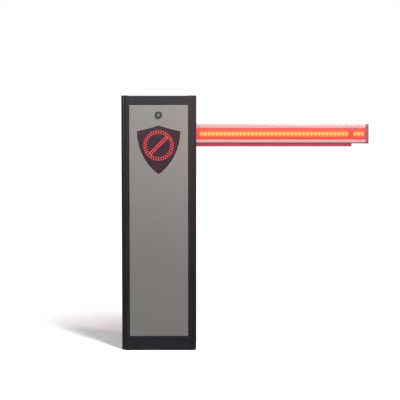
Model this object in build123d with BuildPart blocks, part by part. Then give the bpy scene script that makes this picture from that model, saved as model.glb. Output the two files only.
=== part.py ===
from build123d import *
from math import atan2, cos, degrees, pi, radians, sin
import os

# Parking barrier gate: a slim cabinet with a rear-mounted illuminated boom.
# Millimetres. X points along the closed boom, Y from the door to the rear, Z up.
# The origin is the centre of the cabinet's footprint, on the floor.

os.makedirs("parts", exist_ok=True)

# ---- driving dimensions -------------------------------------------------------------

CAB_W, CAB_D, CAB_H = 300.0, 280.0, 1027.0
CORNER_R = 22.0
POST = 30.5                      # square section of a corner post
POST_WALL = 3.0
BASE_T = 10.0
SILL_TOP, HEAD_LOW = 55.0, 991.0
RAIL_TOP = CAB_H - 4.0
RAIL_DEPTH, RAIL_WALL = 20.0, 3.0
GROOVE_AT, GROOVE_W, GROOVE_DEPTH = 14.0, 1.2, 1.0
COVER_T = 3.0
SHEET = 2.5
PANEL_INSET = 3.5
IN_X = CAB_W / 2 - POST          # inner faces of the posts
IN_Y = CAB_D / 2 - POST

ANCHOR_DX, ANCHOR_DY, ANCHOR_R = 220.0, 180.0, 7.0
CABLE_R = 40.0

DOOR_GAP = 1.5
DOOR_FACE = -CAB_D / 2 + 1.0     # front skin of the door
DOOR_SKIN = 2.0
DOOR_DEPTH = 13.0
DOOR_LOW, DOOR_TOP = SILL_TOP + 2.0, HEAD_LOW - 2.0
DOOR_HALF = IN_X - DOOR_GAP
HINGE_Y, HINGE_Z, HINGE_R = -134.0, SILL_TOP + 10.0, 2.5

LOCK_Z, LOCK_RING_R, LOCK_BODY_R, PLUG_R = 949.0, 14.5, 9.5, 7.0
RUN = 0.05                       # radial running clearance
FREE = 0.3                       # gap between parts that move past each other

SHIELD_HALF, SHIELD_TOP, SHIELD_SHOULDER, SHIELD_TIP = 86.5, 907.5, 884.0, 711.5

AXIS_Z = 869.0                   # main shaft and boom centre line
SHAFT_R = 15.0
ARM = 95.0                       # pivot to pin on the rocker and on the crank
ARM_W = 36.0
OUTPUT_Z = 535.0                 # gearbox output axis
OUTPUT_R = 12.5
PIN_R = 6.0
ROCKER_Y = (-57.0, -43.0)
CONROD_Y = (-78.0, -62.0)
PIN_X = ARM * cos(radians(45))

PLATE_Y = (0.0, 8.0)             # main chassis plate
PLATE_HALF = 110.0
REAR_Y = (118.0, 124.0)
WEB_T = 6.0

SPRING_Y = (-72.0, -28.0)
SPRING_R, SPRING_WIRE = 17.0, 5.0
SPRING_LOW, SPRING_TOP = 208.0, 855.7

BOOM_H, BOOM_T = 82.0, 45.0
BOOM_Y = 182.5                   # middle of the boom's thickness
BOOM_X = (-60.0, 866.0)
BOOM_CAP = 14.0
LENS_H, LENS_RECESS = 49.5, 13.0
BOOM_WALL = 3.0
EDGE_DROP, EDGE_END = 12.5, 809.0
CLAMP_X = (-56.0, 60.0)


# ---- helpers --------------------------------------------------------------------------

def facing(y):
    """Plane at depth y that looks towards the front; extrusions run towards -Y."""
    return Plane(origin=(0, y, 0), x_dir=(1, 0, 0), z_dir=(0, -1, 0))


def block(x, y, z, mode=Mode.ADD):
    """Box between the low and high values of each axis."""
    with Locations(((x[0] + x[1]) / 2, (y[0] + y[1]) / 2, (z[0] + z[1]) / 2)):
        Box(x[1] - x[0], y[1] - y[0], z[1] - z[0], mode=mode)


def rod_x(radius, x, y, z, mode=Mode.ADD):
    """Round bar along X."""
    with Locations(Location(((x[0] + x[1]) / 2, y, z), (0, 90, 0))):
        Cylinder(radius, x[1] - x[0], mode=mode)


def rod_y(radius, x, y, z, mode=Mode.ADD):
    """Round bar along Y."""
    with Locations(Location((x, (y[0] + y[1]) / 2, z), (90, 0, 0))):
        Cylinder(radius, y[1] - y[0], mode=mode)


def rod_z(radius, x, y, z, mode=Mode.ADD):
    """Round bar along Z."""
    with Locations((x, y, (z[0] + z[1]) / 2)):
        Cylinder(radius, z[1] - z[0], mode=mode)


def keep(builder, name):
    """Label a finished piece and write it as its own file."""
    builder.part.label = name
    export_step(builder.part, f"parts/{name}.step")


# ---- cabinet shell --------------------------------------------------------------------

with BuildPart() as base_plate:
    with BuildSketch():
        RectangleRounded(CAB_W, CAB_D, CORNER_R)
        with GridLocations(ANCHOR_DX, ANCHOR_DY, 2, 2):
            Circle(ANCHOR_R, mode=Mode.SUBTRACT)
        Circle(CABLE_R, mode=Mode.SUBTRACT)
    extrude(amount=BASE_T)
keep(base_plate, "base_plate")

with BuildPart() as corner_posts:
    with BuildSketch(Plane.XY.offset(BASE_T)):
        RectangleRounded(CAB_W, CAB_D, CORNER_R)
        Rectangle(CAB_W, 2 * IN_Y, mode=Mode.SUBTRACT)
        Rectangle(2 * IN_X, CAB_D, mode=Mode.SUBTRACT)
    extrude(amount=CAB_H - BASE_T)
    with BuildSketch(Plane.XY.offset(BASE_T)):
        RectangleRounded(CAB_W - 2 * POST_WALL, CAB_D - 2 * POST_WALL, CORNER_R - POST_WALL)
        Rectangle(CAB_W, 2 * (IN_Y + POST_WALL), mode=Mode.SUBTRACT)
        Rectangle(2 * (IN_X + POST_WALL), CAB_D, mode=Mode.SUBTRACT)
    extrude(amount=CAB_H - BASE_T - POST_WALL, mode=Mode.SUBTRACT)
    fillet(corner_posts.faces().sort_by(Axis.Z)[-4:].edges(), 1.0)
    for x in (-CAB_W / 2 + GROOVE_AT, CAB_W / 2 - GROOVE_AT):
        groove = (x - GROOVE_W / 2, x + GROOVE_W / 2)
        for face in (-CAB_D / 2, CAB_D / 2):
            block(groove, (face - GROOVE_DEPTH, face + GROOVE_DEPTH), (BASE_T, CAB_H), mode=Mode.SUBTRACT)
keep(corner_posts, "corner_posts")


def rail_set(low, high):
    """Front, rear and side rails that close the frame between the corner posts."""
    with BuildPart() as rails:
        with BuildSketch(Plane.XY.offset(low)):
            Rectangle(CAB_W, 2 * IN_Y)
            Rectangle(2 * IN_X, CAB_D)
            Rectangle(CAB_W - 2 * RAIL_DEPTH, CAB_D - 2 * RAIL_DEPTH, mode=Mode.SUBTRACT)
        extrude(amount=high - low)
        with BuildSketch(Plane.XY.offset(low + RAIL_WALL)):
            Rectangle(CAB_W - 2 * RAIL_WALL, 2 * IN_Y)
            Rectangle(2 * IN_X, CAB_D - 2 * RAIL_WALL)
            inset = 2 * (RAIL_DEPTH - RAIL_WALL)
            Rectangle(CAB_W - inset, CAB_D - inset, mode=Mode.SUBTRACT)
        extrude(amount=high - low - 2 * RAIL_WALL, mode=Mode.SUBTRACT)
    return rails


keep(rail_set(BASE_T, SILL_TOP), "sill_rails")
keep(rail_set(HEAD_LOW, RAIL_TOP), "head_rails")

with BuildPart() as top_cover:
    with BuildSketch(Plane.XY.offset(RAIL_TOP)):
        Rectangle(CAB_W, 2 * IN_Y)
        Rectangle(2 * IN_X, CAB_D)
    extrude(amount=COVER_T)
    chamfer(top_cover.faces().sort_by(Axis.Z)[-1].edges(), 0.8)
keep(top_cover, "top_cover")


STIFFENER_DEPTH = 8.0
RIB_HALF, RIB_GAUGE, RIB_END = 12.0, 2.0, 40.0
with BuildPart() as side_panels:
    for side in (-1, 1):
        outer = side * (CAB_W / 2 - PANEL_INSET)
        inner = outer - side * SHEET
        block(sorted((outer, inner)), (-IN_Y, IN_Y), (SILL_TOP, HEAD_LOW))
        for y in (-IN_Y / 2, IN_Y / 2):
            rib = sorted((inner, inner - side * STIFFENER_DEPTH))
            block(rib, (y - RIB_HALF, y + RIB_HALF), (SILL_TOP + RIB_END, HEAD_LOW - RIB_END))
            hollow = sorted((inner, inner - side * (STIFFENER_DEPTH - RIB_GAUGE)))
            core = (y - RIB_HALF + RIB_GAUGE, y + RIB_HALF - RIB_GAUGE)
            block(hollow, core, (SILL_TOP + RIB_END, HEAD_LOW - RIB_END), mode=Mode.SUBTRACT)
keep(side_panels, "side_panels")

REAR_SKIN = CAB_D / 2 - PANEL_INSET
SHAFT_PORT_R = 24.0
VENT_ROWS, VENT_LOW, VENT_PITCH, VENT_L, VENT_H = 6, 200.0, 14.0, 120.0, 5.0
with BuildPart() as rear_panel:
    with BuildSketch(facing(REAR_SKIN)):
        with Locations((0, (SILL_TOP + HEAD_LOW) / 2)):
            Rectangle(2 * IN_X, HEAD_LOW - SILL_TOP)
        with Locations((0, AXIS_Z)):
            Circle(SHAFT_PORT_R, mode=Mode.SUBTRACT)
        for row in range(VENT_ROWS):
            with Locations((0, VENT_LOW + VENT_PITCH * row)):
                SlotOverall(VENT_L, VENT_H, mode=Mode.SUBTRACT)
    extrude(amount=SHEET)
keep(rear_panel, "rear_panel")

SEAL_Y = (-125.5, -121.0)
SEAL_W, SEAL_LOW = 8.5, 100.0
with BuildPart() as door_seal:
    for side in (-1, 1):
        block(sorted((side * IN_X, side * (IN_X - SEAL_W))), SEAL_Y, (SEAL_LOW, HEAD_LOW))
    block((-IN_X, IN_X), SEAL_Y, (HEAD_LOW - SEAL_W, HEAD_LOW))
keep(door_seal, "door_seal")

KEEPER_LOW, KEEPER_H, KEEPER_HALF, KEEPER_T, KEEPER_ROUND = LOCK_Z + 23.0, 40.0, 22.0, 3.0, 6.0
KEEPER_FACE = -CAB_D / 2 + RAIL_DEPTH
with BuildPart() as lock_keeper:
    keeper_z = (KEEPER_LOW, KEEPER_LOW + KEEPER_H)
    block((-KEEPER_HALF, KEEPER_HALF), (KEEPER_FACE, KEEPER_FACE + KEEPER_T), keeper_z)
    fillet(lock_keeper.edges().filter_by(Axis.Y).group_by(Axis.Z)[0], KEEPER_ROUND)
keep(lock_keeper, "lock_keeper")

HINGE_PIN_L = 11.0
with BuildPart() as hinge_pins:
    for side in (-1, 1):
        rod_x(HINGE_R, sorted((side * IN_X, side * (IN_X - HINGE_PIN_L))), HINGE_Y, HINGE_Z)
keep(hinge_pins, "hinge_pins")


# ---- door -----------------------------------------------------------------------------

def shield_outline(grow=0.0):
    """Shield: a shallow peak, two shoulders and two arcs that meet at the tip."""
    half = SHIELD_HALF + grow
    shoulder = SHIELD_SHOULDER + grow
    top = SHIELD_TOP + grow
    tip = SHIELD_TIP - grow
    drop = shoulder - tip
    hollow = 1.5                 # how far the top edges sag between peak and shoulder
    radius = (half ** 2 + drop ** 2) / (2 * half)
    mid = atan2(drop, radius - half) / 2
    with BuildLine() as outline:
        for side in (-1, 1):
            bulge = (side * (half - radius + radius * cos(mid)), shoulder - radius * sin(mid))
            ThreePointArc((side * half, shoulder), bulge, (0, tip))
            ThreePointArc((0, top), (side * half / 2, (top + shoulder) / 2 - hollow), (side * half, shoulder))
    return outline.line


DOOR_MID = (DOOR_LOW + DOOR_TOP) / 2
with BuildPart() as door_panel:
    with BuildSketch(facing(DOOR_FACE + DOOR_DEPTH)):
        with Locations((0, DOOR_MID)):
            Rectangle(2 * DOOR_HALF, DOOR_TOP - DOOR_LOW)
    extrude(amount=DOOR_DEPTH)
    fillet(door_panel.faces().sort_by(Axis.Y)[0].edges(), 1.5)
    block(
        (-DOOR_HALF + DOOR_SKIN, DOOR_HALF - DOOR_SKIN),
        (DOOR_FACE + DOOR_SKIN, DOOR_FACE + DOOR_DEPTH),
        (DOOR_LOW + DOOR_SKIN, DOOR_TOP - DOOR_SKIN),
        mode=Mode.SUBTRACT,
    )
    with BuildSketch(facing(DOOR_FACE + DOOR_SKIN)):
        make_face(shield_outline().edges())
        with Locations((0, LOCK_Z)):
            Circle(LOCK_BODY_R)
    extrude(amount=DOOR_SKIN, mode=Mode.SUBTRACT)
    for side in (-1, 1):
        edge = side * DOOR_HALF
        rod_x(HINGE_R + RUN, sorted((edge, edge - side * DOOR_SKIN)), HINGE_Y, HINGE_Z, mode=Mode.SUBTRACT)
keep(door_panel, "door_panel")

DOOR_RIB_X, DOOR_RIB_HALF, DOOR_RIB_T, DOOR_RIB_Z = 104.0, 8.0, 3.0, (90.0, 960.0)
DOOR_RIB_Y = (DOOR_FACE + DOOR_SKIN, DOOR_FACE + DOOR_DEPTH - 1.0)
with BuildPart() as door_stiffeners:
    for side in (-1, 1):
        x = side * DOOR_RIB_X
        block((x - DOOR_RIB_HALF, x + DOOR_RIB_HALF), DOOR_RIB_Y, DOOR_RIB_Z)
        core = (x - DOOR_RIB_HALF + DOOR_RIB_T, x + DOOR_RIB_HALF - DOOR_RIB_T)
        block(core, (DOOR_RIB_Y[0], DOOR_RIB_Y[1] - DOOR_RIB_T), DOOR_RIB_Z, mode=Mode.SUBTRACT)
keep(door_stiffeners, "door_stiffeners")

WINDOW_T = 4.0
with BuildPart() as sign_window:
    with BuildSketch(facing(DOOR_FACE + WINDOW_T)):
        make_face(shield_outline().edges())
    extrude(amount=WINDOW_T)
keep(sign_window, "sign_window")

SIGN_HALF, SIGN_LOW, SIGN_TOP, SIGN_BACK, SIGN_WALL = 92.0, SHIELD_TIP - 9.0, SHIELD_TOP + 8.0, -113.0, 2.0
with BuildPart() as sign_housing:
    block((-SIGN_HALF, SIGN_HALF), (DOOR_FACE + DOOR_SKIN, SIGN_BACK), (SIGN_LOW, SIGN_TOP))
    fillet(sign_housing.edges().filter_by(Axis.Y), 6.0)
    block(
        (-SIGN_HALF + SIGN_WALL, SIGN_HALF - SIGN_WALL),
        (DOOR_FACE + DOOR_SKIN, SIGN_BACK - SIGN_WALL),
        (SIGN_LOW + SIGN_WALL, SIGN_TOP - SIGN_WALL),
        mode=Mode.SUBTRACT,
    )
keep(sign_housing, "sign_housing")

BOARD_Y = (-130.0, -128.4)
with BuildPart() as sign_board:
    block(
        (-SIGN_HALF + SIGN_WALL, SIGN_HALF - SIGN_WALL),
        BOARD_Y,
        (SIGN_LOW + SIGN_WALL, SIGN_TOP - SIGN_WALL),
    )
keep(sign_board, "sign_board")

LOCK_FRONT, LOCK_BACK = DOOR_FACE - 3.0, -119.0
LOCK_NUT_R, LOCK_NUT_T = LOCK_BODY_R + 4.0, 5.0
with BuildPart() as lock_housing:
    rod_y(LOCK_RING_R, 0, (LOCK_FRONT, DOOR_FACE), LOCK_Z)
    fillet(lock_housing.faces().sort_by(Axis.Y)[0].edges(), 1.2)
    rod_y(LOCK_BODY_R, 0, (DOOR_FACE, LOCK_BACK), LOCK_Z)
    rod_y(LOCK_NUT_R, 0, (DOOR_FACE + DOOR_SKIN, DOOR_FACE + DOOR_SKIN + LOCK_NUT_T), LOCK_Z)
    rod_y(PLUG_R + RUN, 0, (LOCK_FRONT, LOCK_BACK), LOCK_Z, mode=Mode.SUBTRACT)
keep(lock_housing, "lock_housing")

CAM_Y = (LOCK_BACK + FREE, LOCK_BACK + FREE + 3.0)
CAM_HUB_R, CAM_BORE_R, CAM_REACH, CAM_W, CAM_L = 9.0, 4.0, 13.0, 12.0, 16.0
KEY_HALF_W, KEY_HALF_H, KEY_DEPTH = 0.9, 4.0, 9.0
with BuildPart() as lock_plug:
    rod_y(PLUG_R, 0, (LOCK_FRONT + 0.5, CAM_Y[0]), LOCK_Z)
    rod_y(CAM_BORE_R, 0, (CAM_Y[0], CAM_Y[1] + 3.0), LOCK_Z)
    key_z = (LOCK_Z - KEY_HALF_H, LOCK_Z + KEY_HALF_H)
    block((-KEY_HALF_W, KEY_HALF_W), (LOCK_FRONT, LOCK_FRONT + KEY_DEPTH), key_z, mode=Mode.SUBTRACT)
keep(lock_plug, "lock_plug")

with BuildPart() as lock_cam:
    with BuildSketch(facing(CAM_Y[1])):
        with Locations((0, LOCK_Z)):
            Circle(CAM_HUB_R)
            Circle(CAM_BORE_R, mode=Mode.SUBTRACT)
        with Locations((0, LOCK_Z + CAM_REACH)):
            RectangleRounded(CAM_W, CAM_L, 2.0)
    extrude(amount=CAM_Y[1] - CAM_Y[0])
keep(lock_cam, "lock_cam")


# ---- chassis and bearings -------------------------------------------------------------

BOLT_SPREAD, BOLT_R, BOLT_HOLE = 35.0, 5.0, 5.5
HOUSING, HOUSING_T, BOSS_R, BOSS_T, INSERT_R = 90.0, 10.0, 37.0, 12.0, 31.0
PASS_R = 20.0
GEAR_BOSS_R = 28.0
WORM_X, WORM_Y = 40.0, 54.0
LEVER_Z = (600.3, 610.0)
PLATE_TOP = AXIS_Z + 95.0
FOOT_END, FOOT_T = 38.0, 8.0
LEVER_SLOT_X, LEVER_SLOT_Z = (-30.0, 58.0), (LEVER_Z[0] - 8.0, LEVER_Z[1] + 12.0)
CABLE_NOTCH_X, CABLE_NOTCH_TOP = (-40.0, 40.0), 70.0
WEB_Z, WEB_HOLE_R, WEB_HOLE_Y, WEB_HOLE_Z = (640.0, 950.0), 34.0, 63.0, 730.0
REAR_Z = (620.0, 975.0)
HEX_R, HEAD_T, NUT_T = 7.5, 6.0, 5.0

with BuildPart() as chassis_plate:
    block((-PLATE_HALF, PLATE_HALF), PLATE_Y, (BASE_T, PLATE_TOP))
    block((-PLATE_HALF, PLATE_HALF), (PLATE_Y[0], FOOT_END), (BASE_T, BASE_T + FOOT_T))
    rod_y(PASS_R, 0, PLATE_Y, AXIS_Z, mode=Mode.SUBTRACT)
    rod_y(GEAR_BOSS_R + 0.5, 0, PLATE_Y, OUTPUT_Z, mode=Mode.SUBTRACT)
    block(LEVER_SLOT_X, PLATE_Y, LEVER_SLOT_Z, mode=Mode.SUBTRACT)
    block(CABLE_NOTCH_X, (PLATE_Y[0], FOOT_END), (BASE_T, CABLE_NOTCH_TOP), mode=Mode.SUBTRACT)
    for dx in (-BOLT_SPREAD, BOLT_SPREAD):
        for dz in (-BOLT_SPREAD, BOLT_SPREAD):
            rod_y(BOLT_HOLE, dx, PLATE_Y, AXIS_Z + dz, mode=Mode.SUBTRACT)
keep(chassis_plate, "chassis_plate")

with BuildPart() as chassis_webs:
    for side in (-1, 1):
        web = sorted((side * PLATE_HALF, side * (PLATE_HALF - WEB_T)))
        block(web, (PLATE_Y[1], REAR_Y[0]), WEB_Z)
        rod_x(WEB_HOLE_R, web, WEB_HOLE_Y, WEB_HOLE_Z, mode=Mode.SUBTRACT)
keep(chassis_webs, "chassis_webs")

with BuildPart() as rear_plate:
    block((-IN_X, IN_X), REAR_Y, REAR_Z)
    rod_y(PASS_R, 0, REAR_Y, AXIS_Z, mode=Mode.SUBTRACT)
    for dx in (-BOLT_SPREAD, BOLT_SPREAD):
        for dz in (-BOLT_SPREAD, BOLT_SPREAD):
            rod_y(BOLT_HOLE, dx, REAR_Y, AXIS_Z + dz, mode=Mode.SUBTRACT)
keep(rear_plate, "rear_plate")


with BuildPart() as bearing_housings:
    for seat in (PLATE_Y[0], REAR_Y[0]):
        with BuildSketch(facing(seat)):
            with Locations((0, AXIS_Z)):
                RectangleRounded(HOUSING, HOUSING, 12)
                with GridLocations(2 * BOLT_SPREAD, 2 * BOLT_SPREAD, 2, 2):
                    Circle(BOLT_HOLE, mode=Mode.SUBTRACT)
        extrude(amount=HOUSING_T)
        rod_y(BOSS_R, 0, (seat - HOUSING_T - BOSS_T, seat - HOUSING_T), AXIS_Z)
        rod_y(INSERT_R, 0, (seat - HOUSING_T - BOSS_T, seat), AXIS_Z, mode=Mode.SUBTRACT)
keep(bearing_housings, "bearing_housings")

INNER_RING_R, INNER_RING_PROUD = 20.0, 2.0
with BuildPart() as bearing_inserts:
    for seat in (PLATE_Y[0], REAR_Y[0]):
        mouth = seat - HOUSING_T - BOSS_T
        rod_y(INSERT_R, 0, (mouth + 1, seat - 1), AXIS_Z)
        rod_y(INNER_RING_R, 0, (mouth - INNER_RING_PROUD, mouth + 1), AXIS_Z)
        rod_y(SHAFT_R + RUN, 0, (mouth - INNER_RING_PROUD, seat), AXIS_Z, mode=Mode.SUBTRACT)
keep(bearing_inserts, "bearing_inserts")

with BuildPart() as bearing_bolts:
    for seat, backing in ((PLATE_Y[0], PLATE_Y[1]), (REAR_Y[0], REAR_Y[1])):
        for dx in (-BOLT_SPREAD, BOLT_SPREAD):
            for dz in (-BOLT_SPREAD, BOLT_SPREAD):
                rod_y(BOLT_R, dx, (seat - HOUSING_T, backing), AXIS_Z + dz)
                with BuildSketch(facing(seat - HOUSING_T)):
                    with Locations((dx, AXIS_Z + dz)):
                        RegularPolygon(HEX_R, 6)
                extrude(amount=HEAD_T)
                with BuildSketch(facing(backing + NUT_T)):
                    with Locations((dx, AXIS_Z + dz)):
                        RegularPolygon(HEX_R, 6)
                extrude(amount=NUT_T)
keep(bearing_bolts, "bearing_bolts")


# ---- drive ----------------------------------------------------------------------------

GEAR_Y = (PLATE_Y[1], 92.0)
GEAR_Z = (487.0, 583.0)
GEAR_X, GEAR_ROUND = (-50.0, 70.0), 10.0
WORM_R, WORM_Z, STUD_TOP = 27.0, (478.0, 600.0), 618.0
OUTPUT_BOSS = PLATE_Y[0] - 6.0
REAR_BOSS_R, REAR_BOSS_T, OUTPUT_BORE_END = 40.0, 5.0, 62.0
with BuildPart() as gearbox_housing:
    block(GEAR_X, GEAR_Y, GEAR_Z)
    fillet(gearbox_housing.edges().filter_by(Axis.Y), GEAR_ROUND)
    rod_z(WORM_R, WORM_X, WORM_Y, WORM_Z)
    rod_z(PIN_R, WORM_X, WORM_Y, (WORM_Z[1], STUD_TOP))
    rod_y(GEAR_BOSS_R, 0, (OUTPUT_BOSS, PLATE_Y[1]), OUTPUT_Z)
    rod_y(REAR_BOSS_R, 0, (GEAR_Y[1], GEAR_Y[1] + REAR_BOSS_T), OUTPUT_Z)
    rod_y(OUTPUT_R + RUN, 0, (OUTPUT_BOSS, OUTPUT_BORE_END), OUTPUT_Z, mode=Mode.SUBTRACT)
keep(gearbox_housing, "gearbox_housing")

MOTOR_R, MOTOR_Z, MOTOR_FLANGE_T, MOTOR_CAP_LOW = 42.0, (262.0, WORM_Z[0]), 12.0, 236.0
FIN_COUNT, FIN_H, FIN_T, FIN_L, FIN_MID = 24, 8.0, 2.2, 196.0, 364.0
with BuildPart() as motor_body:
    rod_z(MOTOR_R - 5.0, WORM_X, WORM_Y, MOTOR_Z)
    rod_z(MOTOR_R, WORM_X, WORM_Y, (MOTOR_Z[1] - MOTOR_FLANGE_T, MOTOR_Z[1]))
    with Locations((WORM_X, WORM_Y, FIN_MID)):
        with PolarLocations(MOTOR_R - FIN_H / 2, FIN_COUNT):
            Box(FIN_H, FIN_T, FIN_L)
keep(motor_body, "motor_body")

with BuildPart() as motor_cap:
    rod_z(MOTOR_R, WORM_X, WORM_Y, (MOTOR_CAP_LOW, MOTOR_Z[0]))
    fillet(motor_cap.faces().sort_by(Axis.Z)[0].edges(), FIN_H)
keep(motor_cap, "motor_cap")

with BuildPart() as output_shaft:
    rod_y(OUTPUT_R, 0, (ROCKER_Y[0] - 3.0, 58.0), OUTPUT_Z)
    chamfer(output_shaft.edges().filter_by(GeomType.CIRCLE), 1.0)
keep(output_shaft, "output_shaft")

COLLAR_R = 9.0                   # shoulders and clips on the pins
REST = -45.0                     # rest angle of crank and rocker, seen from the front
with BuildPart() as crank:
    with BuildSketch(facing(ROCKER_Y[1])):
        with Locations((PIN_X / 2, OUTPUT_Z - PIN_X / 2)):
            SlotCenterToCenter(ARM, ARM_W, rotation=REST)
        with Locations((0, OUTPUT_Z)):
            Circle(26.0)
    extrude(amount=ROCKER_Y[1] - ROCKER_Y[0])
    rod_y(24.0, 0, (ROCKER_Y[1], -16.0), OUTPUT_Z)
    rod_y(OUTPUT_R, 0, (-90.0, 0.0), OUTPUT_Z, mode=Mode.SUBTRACT)
    rod_y(PIN_R, PIN_X, (CONROD_Y[0] - FREE, ROCKER_Y[0]), OUTPUT_Z - PIN_X)
    rod_y(COLLAR_R, PIN_X, (CONROD_Y[1] + FREE, ROCKER_Y[0]), OUTPUT_Z - PIN_X)
    rod_y(COLLAR_R, PIN_X, (CONROD_Y[0] - 4.0, CONROD_Y[0] - FREE), OUTPUT_Z - PIN_X)
keep(crank, "crank")

EYE_R, STEM = 16.0, 34.0
LOW_PIN, HIGH_PIN = OUTPUT_Z - PIN_X, AXIS_Z - PIN_X
CONROD_MID = sum(CONROD_Y) / 2
with BuildPart() as conrod_tube:
    rod_z(9.0, PIN_X, CONROD_MID, (LOW_PIN + STEM, HIGH_PIN - STEM))
    for z in (LOW_PIN + STEM, HIGH_PIN - STEM - 8.0):
        with BuildSketch(Plane.XY.offset(z)):
            with Locations((PIN_X, CONROD_MID)):
                RegularPolygon(11.0, 6)
        extrude(amount=8.0)
keep(conrod_tube, "conrod_tube")

with BuildPart() as rod_ends:
    for z, way, bore in ((LOW_PIN, 1, PIN_R + RUN), (HIGH_PIN, -1, PIN_R + FREE)):
        rod_y(EYE_R, PIN_X, CONROD_Y, z)
        rod_z(7.0, PIN_X, CONROD_MID, sorted((z + way * 8.0, z + way * STEM)))
        rod_y(bore, PIN_X, CONROD_Y, z, mode=Mode.SUBTRACT)
keep(rod_ends, "rod_ends")

with BuildPart() as release_lever:
    rod_z(14.0, WORM_X, WORM_Y, LEVER_Z)
    block((WORM_X - 6.0, WORM_X + 6.0), (-30.0, WORM_Y), LEVER_Z)
    with Locations((WORM_X, -28.0, sum(LEVER_Z) / 2)):
        Sphere(8.5)
    rod_z(PIN_R + RUN, WORM_X, WORM_Y, (LEVER_Z[0] - 5, LEVER_Z[1] + 5), mode=Mode.SUBTRACT)
keep(release_lever, "release_lever")


# ---- main shaft group -----------------------------------------------------------------

HUB_Y = (144.0, 152.0)
with BuildPart() as main_shaft:
    rod_y(SHAFT_R, 0, (ROCKER_Y[0] - 3.0, HUB_Y[1] - 2.0), AXIS_Z)
    chamfer(main_shaft.edges().filter_by(GeomType.CIRCLE), 1.0)
keep(main_shaft, "main_shaft")

with BuildPart() as rocker:
    with BuildSketch(facing(ROCKER_Y[1])):
        with Locations((0, AXIS_Z)):
            SlotCenterToCenter(2 * ARM, ARM_W, rotation=REST)
            Circle(28.0)
        with Locations((PIN_X, HIGH_PIN), (-PIN_X, AXIS_Z + PIN_X)):
            Circle(PIN_R, mode=Mode.SUBTRACT)
    extrude(amount=ROCKER_Y[1] - ROCKER_Y[0])
    rod_y(26.0, 0, (ROCKER_Y[1], -27.0), AXIS_Z)
    rod_y(SHAFT_R, 0, (-90.0, 0.0), AXIS_Z, mode=Mode.SUBTRACT)
keep(rocker, "rocker")

CHEEK = 5.0
CHEEK_FRONT = (ROCKER_Y[0] - FREE - CHEEK, ROCKER_Y[0] - FREE)
CHEEK_REAR = (ROCKER_Y[1] + FREE, ROCKER_Y[1] + FREE + CHEEK)
with BuildPart() as rocker_pins:
    rod_y(PIN_R, PIN_X, (CONROD_Y[0] - FREE, ROCKER_Y[1]), HIGH_PIN)
    rod_y(COLLAR_R, PIN_X, (CONROD_Y[1] + FREE, ROCKER_Y[0]), HIGH_PIN)
    rod_y(COLLAR_R, PIN_X, (CONROD_Y[0] - 4.0, CONROD_Y[0] - FREE), HIGH_PIN)
    rod_y(PIN_R, -PIN_X, (CHEEK_FRONT[0] - FREE, CHEEK_REAR[1] + FREE), AXIS_Z + PIN_X)
    rod_y(COLLAR_R, -PIN_X, (CHEEK_FRONT[0] - FREE - 3.0, CHEEK_FRONT[0] - FREE), AXIS_Z + PIN_X)
    rod_y(COLLAR_R, -PIN_X, (CHEEK_REAR[1] + FREE, CHEEK_REAR[1] + FREE + 3.0), AXIS_Z + PIN_X)
keep(rocker_pins, "rocker_pins")

LIMIT_Y = (60.0, 66.0)
with BuildPart() as limit_cam:
    rod_y(36.0, 0, LIMIT_Y, AXIS_Z)
    rod_y(22.0, 0, (LIMIT_Y[0] - 8.0, LIMIT_Y[0]), AXIS_Z)
    with BuildSketch(facing(LIMIT_Y[1])):
        with Locations((-28.0, AXIS_Z - 26.0)):
            Rectangle(26.0, 26.0)
    extrude(amount=LIMIT_Y[1] - LIMIT_Y[0], mode=Mode.SUBTRACT)
    rod_y(SHAFT_R, 0, (40.0, 90.0), AXIS_Z, mode=Mode.SUBTRACT)
keep(limit_cam, "limit_cam")

BAR_Z = (AXIS_Z + PIN_X - 56.0, AXIS_Z + PIN_X - 44.0)
with BuildPart() as spring_hanger:
    for cheek in (CHEEK_FRONT, CHEEK_REAR):
        block((-PIN_X - 12.0, -PIN_X + 12.0), cheek, (BAR_Z[0], AXIS_Z + PIN_X))
        rod_y(12.0, -PIN_X, cheek, AXIS_Z + PIN_X)
    block((-PIN_X - 8.0, -PIN_X + 8.0), (-89.0, -11.0), BAR_Z)
    for y in SPRING_Y:
        rod_z(5.0, -PIN_X, y, (SPRING_TOP + FREE + 8.0, BAR_Z[0]))
        rod_z(SPRING_R, -PIN_X, y, (SPRING_TOP + FREE, SPRING_TOP + FREE + 8.0))
    rod_y(PIN_R + RUN, -PIN_X, (-90.0, -10.0), AXIS_Z + PIN_X, mode=Mode.SUBTRACT)
keep(spring_hanger, "spring_hanger")


# ---- balance springs and stops --------------------------------------------------------

with BuildPart() as balance_springs:
    for y in SPRING_Y:
        rod_z(SPRING_R, -PIN_X, y, (SPRING_LOW, SPRING_TOP))
        rod_z(SPRING_R - SPRING_WIRE, -PIN_X, y, (SPRING_LOW, SPRING_TOP), mode=Mode.SUBTRACT)
keep(balance_springs, "balance_springs")

ANCHOR_TOP = (130.0, 140.0)
with BuildPart() as spring_anchor:
    block((-PIN_X - 25.0, -PIN_X + 25.0), (-95.0, -5.0), ANCHOR_TOP)
    for y in ((-95.0, -88.0), (-12.0, -5.0)):
        block((-PIN_X - 25.0, -PIN_X + 25.0), y, (BASE_T, ANCHOR_TOP[0]))
    for y in SPRING_Y:
        rod_z(BOLT_HOLE, -PIN_X, y, ANCHOR_TOP, mode=Mode.SUBTRACT)
keep(spring_anchor, "spring_anchor")

with BuildPart() as tension_rods:
    for y in SPRING_Y:
        rod_z(SPRING_R, -PIN_X, y, (SPRING_LOW - 10.0, SPRING_LOW))
        rod_z(BOLT_R, -PIN_X, y, (96.0, SPRING_LOW - 10.0))
        for z in (ANCHOR_TOP[0] - 8.0, ANCHOR_TOP[1]):
            with BuildSketch(Plane.XY.offset(z)):
                with Locations((-PIN_X, y)):
                    RegularPolygon(9.0, 6)
            extrude(amount=8.0)
keep(tension_rods, "tension_rods")

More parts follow.
